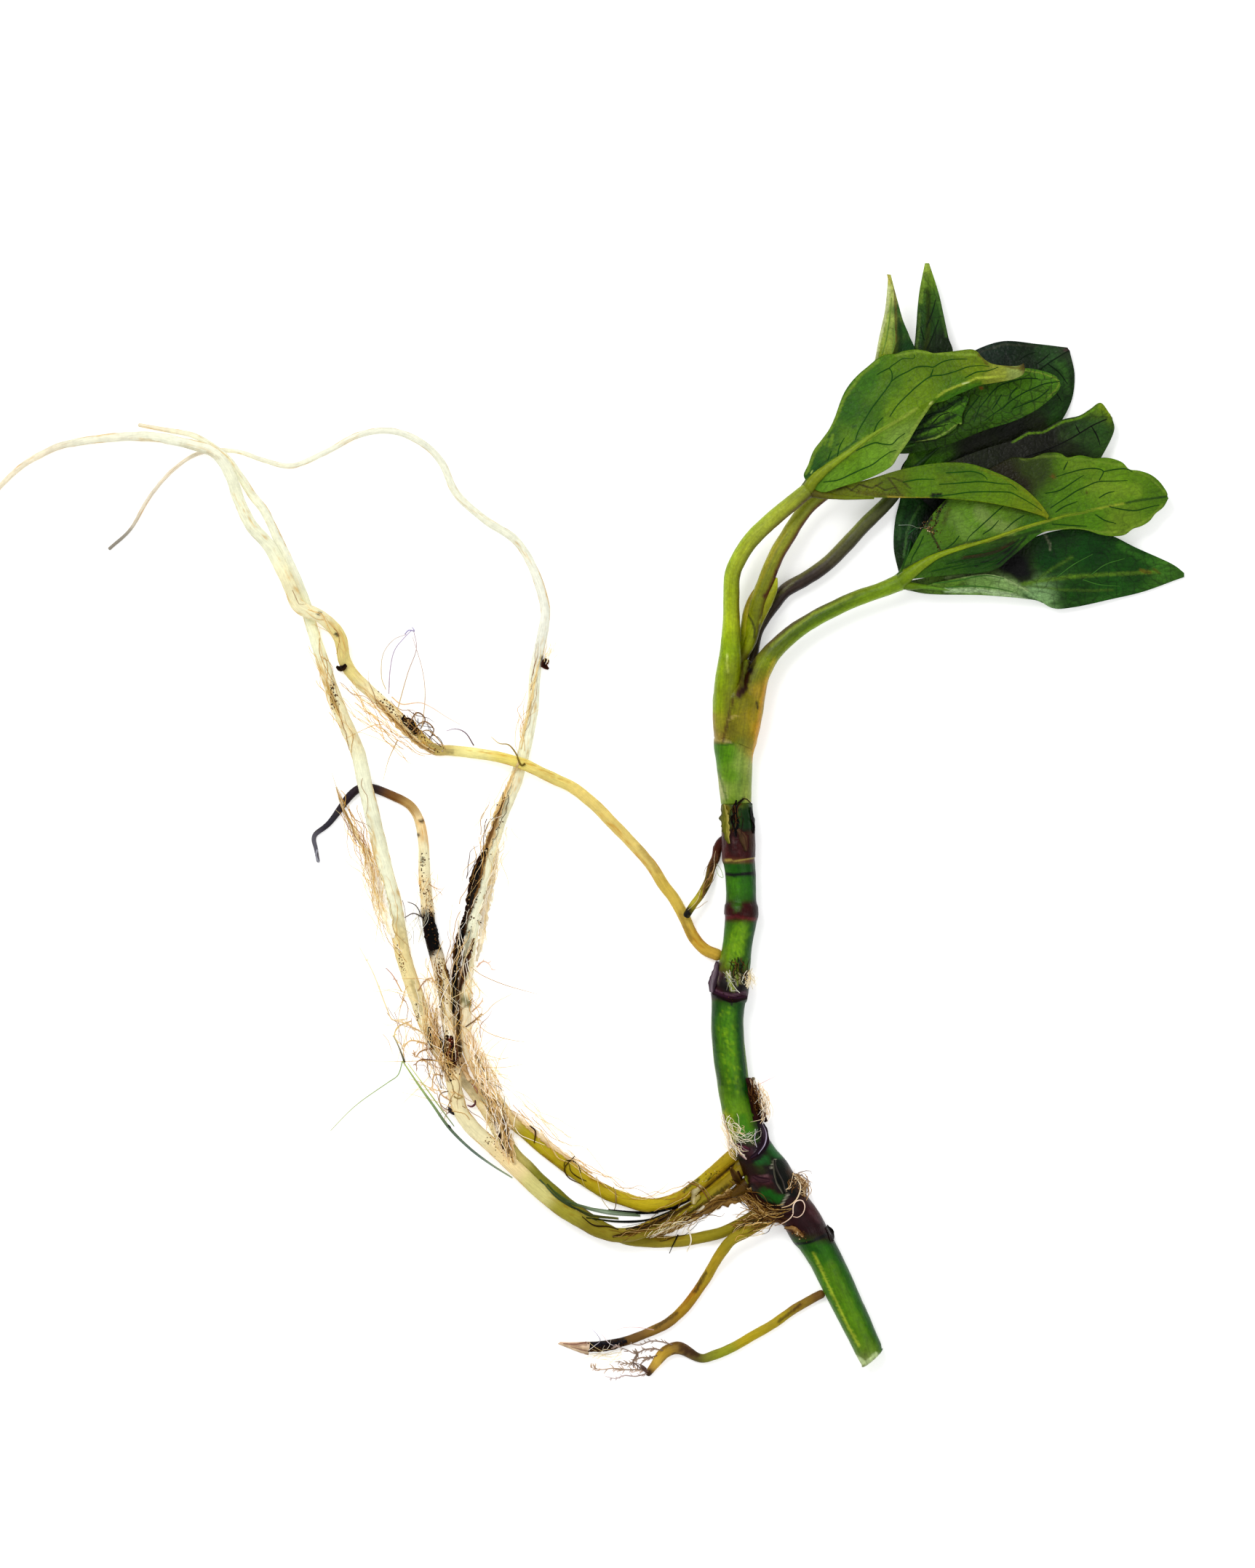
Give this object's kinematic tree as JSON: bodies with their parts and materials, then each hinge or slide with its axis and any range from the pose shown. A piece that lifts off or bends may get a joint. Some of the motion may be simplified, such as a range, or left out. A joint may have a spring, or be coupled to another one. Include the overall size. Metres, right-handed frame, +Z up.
{
  "type": "bogbean cutting",
  "caption": "Uprooted bogbean cutting lying flat: jointed green rhizome, crown of three-part leaves on curved stalks, long pale roots.",
  "frame": {"origin": "middle of the underside of the plant's bounding box, on the surface it lies on", "axes": "+Z up from that surface; +Y towards the leaves, along the straight part of the rhizome; +X towards the leaf tips, away from the ends of the long roots"},
  "size_m": [0.3356, 0.3064, 0.0161],
  "materials": {
    "stem": "smooth fresh green skin with dark maroon nodes",
    "stalk": "smooth fleshy skin, satin",
    "leaf": "waxy leaf with dark veins",
    "root": "pale fleshy root, matte with brown stains",
    "scale": "dry papery scale"
  },
  "bodies": {
    "root": {"rhizome": "stem", "crown_sheath": "stalk", "fork_sheath": "scale", "petiole_a": "stalk", "petiole_b": "stalk", "petiole_c": "stalk", "petiole_d": "stalk", "leaflet_a1": "leaf", "leaflet_a2": "leaf", "leaflet_a3": "leaf", "leaflet_b1": "leaf", "leaflet_b2": "leaf", "leaflet_b3": "leaf", "leaflet_c1": "leaf", "leaflet_c2": "leaf", "leaflet_c3": "leaf", "leaflet_d1": "leaf", "leaflet_d2": "leaf", "leaflet_d3": "leaf", "root_upper": "root", "root_loop": "root", "root_dark": "root", "root_long": "root", "root_broken": "root", "root_lowest": "root", "root_stub": "root"}
  },
  "joints": []
}
